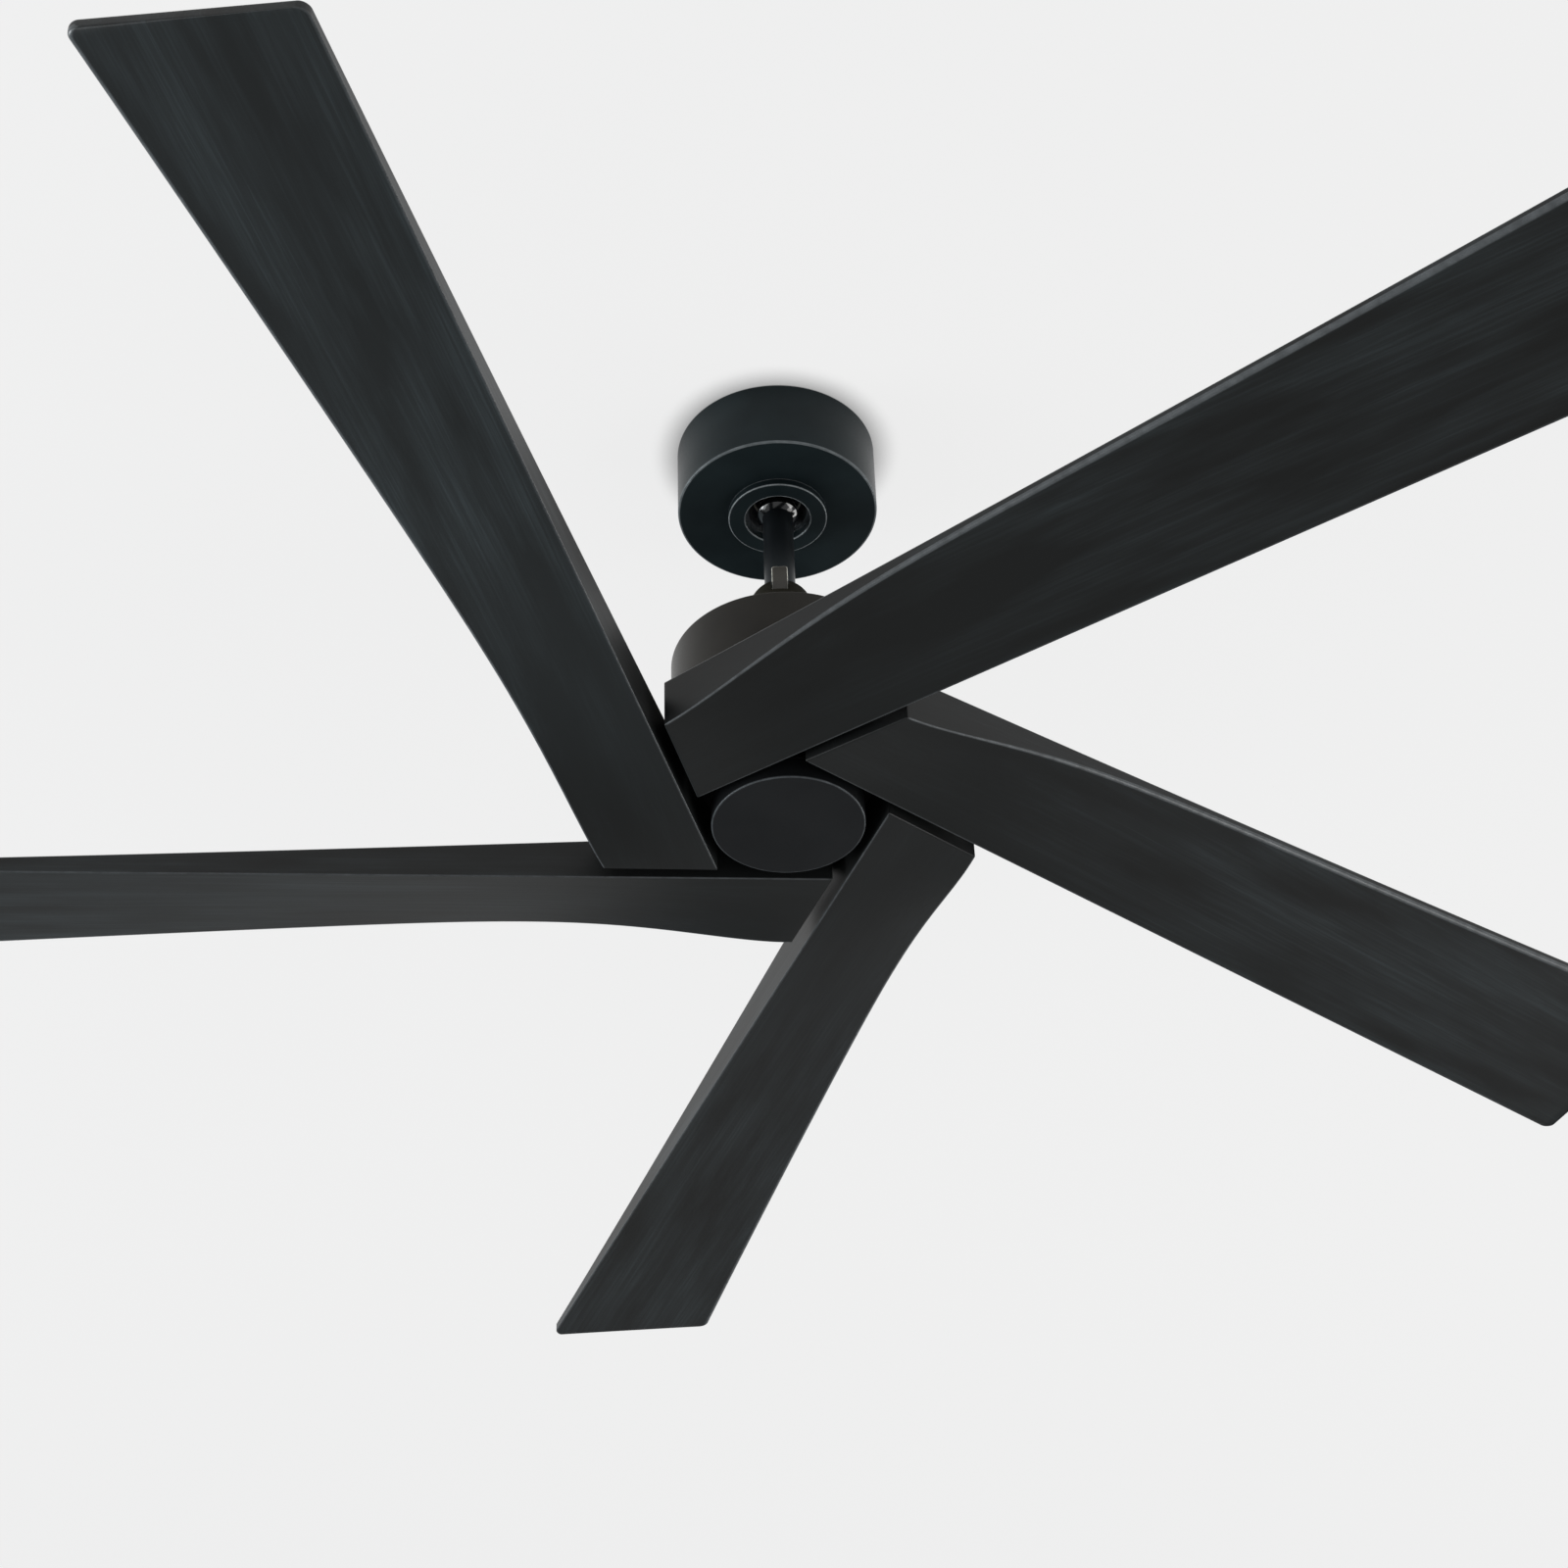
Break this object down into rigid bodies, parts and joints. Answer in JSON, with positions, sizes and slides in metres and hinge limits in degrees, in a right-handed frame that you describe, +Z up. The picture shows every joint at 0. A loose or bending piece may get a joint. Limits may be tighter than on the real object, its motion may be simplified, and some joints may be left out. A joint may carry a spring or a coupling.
{
  "type": "ceiling fan",
  "caption": "Ceiling fan with thick-rooted blades in a pinwheel round a flat cap, on a short down rod hung by a ball in a shallow canopy.",
  "frame": {"origin": "centre of the hanger bracket's top face, on the ceiling and on the fan's axis", "axes": "+Z up into the ceiling; -Y towards the picture's viewer; +X to the viewer's right"},
  "size_m": [1.6771, 1.6945, 0.4241],
  "materials": {
    "black_coat": "matte powder coat on steel",
    "blade_black": "matte black moulded blade",
    "gloss_black": "polished black",
    "zinc_steel": "zinc plated",
    "bare_steel": "plain turned steel",
    "cast_aluminium": "as cast",
    "hub_black": "matte powder coat on cast aluminium",
    "core_steel": "stacked laminations",
    "copper_wire": "enamelled copper wire",
    "ferrite": "sintered magnet",
    "board_green": "circuit board",
    "black_plastic": "moulded black plastic",
    "white_nylon": "moulded nylon"
  },
  "bodies": {
    "ceiling_mount": {"hanger_bracket": "zinc_steel", "canopy": "black_coat", "canopy_ring": "black_coat", "canopy_screw_1": "bare_steel", "canopy_screw_2": "bare_steel", "receiver_module": "black_plastic"},
    "liner": {"socket_liner": "white_nylon"},
    "hanging_unit": {"hanger_ball": "gloss_black", "ball_pin": "bare_steel", "ball_set_screw": "bare_steel", "down_rod": "black_coat", "motor_coupling": "cast_aluminium", "clevis_pin": "bare_steel", "hairpin_clip": "bare_steel", "coupling_set_screw_1": "bare_steel", "coupling_set_screw_2": "bare_steel", "coupling_screw_1": "bare_steel", "coupling_screw_2": "bare_steel", "coupling_screw_3": "bare_steel", "coupling_cover": "black_coat", "motor_housing": "black_coat", "driver_board": "board_green", "stator_shaft": "bare_steel", "retaining_ring": "bare_steel", "stator_core": "core_steel", "stator_winding": "copper_wire", "upper_bearing": "bare_steel", "lower_bearing": "bare_steel", "bottom_cap": "black_coat", "cap_carrier": "black_plastic", "carrier_nut": "bare_steel"},
    "rotor": {"rotor_upper_cover": "cast_aluminium", "rotor_lower_cover": "cast_aluminium", "magnet_ring": "ferrite", "rotor_bolt_1": "bare_steel", "rotor_bolt_2": "bare_steel", "rotor_bolt_3": "bare_steel", "blade_hub": "hub_black", "blade_1": "blade_black", "blade_2": "blade_black", "blade_3": "blade_black", "blade_4": "blade_black", "blade_5": "blade_black", "blade_screw_1a": "bare_steel", "blade_screw_1b": "bare_steel", "blade_screw_1c": "bare_steel", "blade_screw_2a": "bare_steel", "blade_screw_2b": "bare_steel", "blade_screw_2c": "bare_steel", "blade_screw_3a": "bare_steel", "blade_screw_3b": "bare_steel", "blade_screw_3c": "bare_steel", "blade_screw_4a": "bare_steel", "blade_screw_4b": "bare_steel", "blade_screw_4c": "bare_steel", "blade_screw_5a": "bare_steel", "blade_screw_5b": "bare_steel", "blade_screw_5c": "bare_steel"}
  },
  "joints": [
    {"name": "tilt_x", "type": "hinge", "parent": "ceiling_mount", "child": "liner", "pos_m": [0, 0, -0.04], "axis": [1, 0, 0], "range_deg": [-13, 13]},
    {"name": "tilt_y", "type": "hinge", "parent": "liner", "child": "hanging_unit", "pos_m": [0, 0, -0.04], "axis": [0, 1, 0], "range_deg": [-13, 13]},
    {"name": "spin", "type": "hinge", "parent": "hanging_unit", "child": "rotor", "pos_m": [0, 0, -0.34], "axis": [0, 0, 1], "continuous": true}
  ]
}
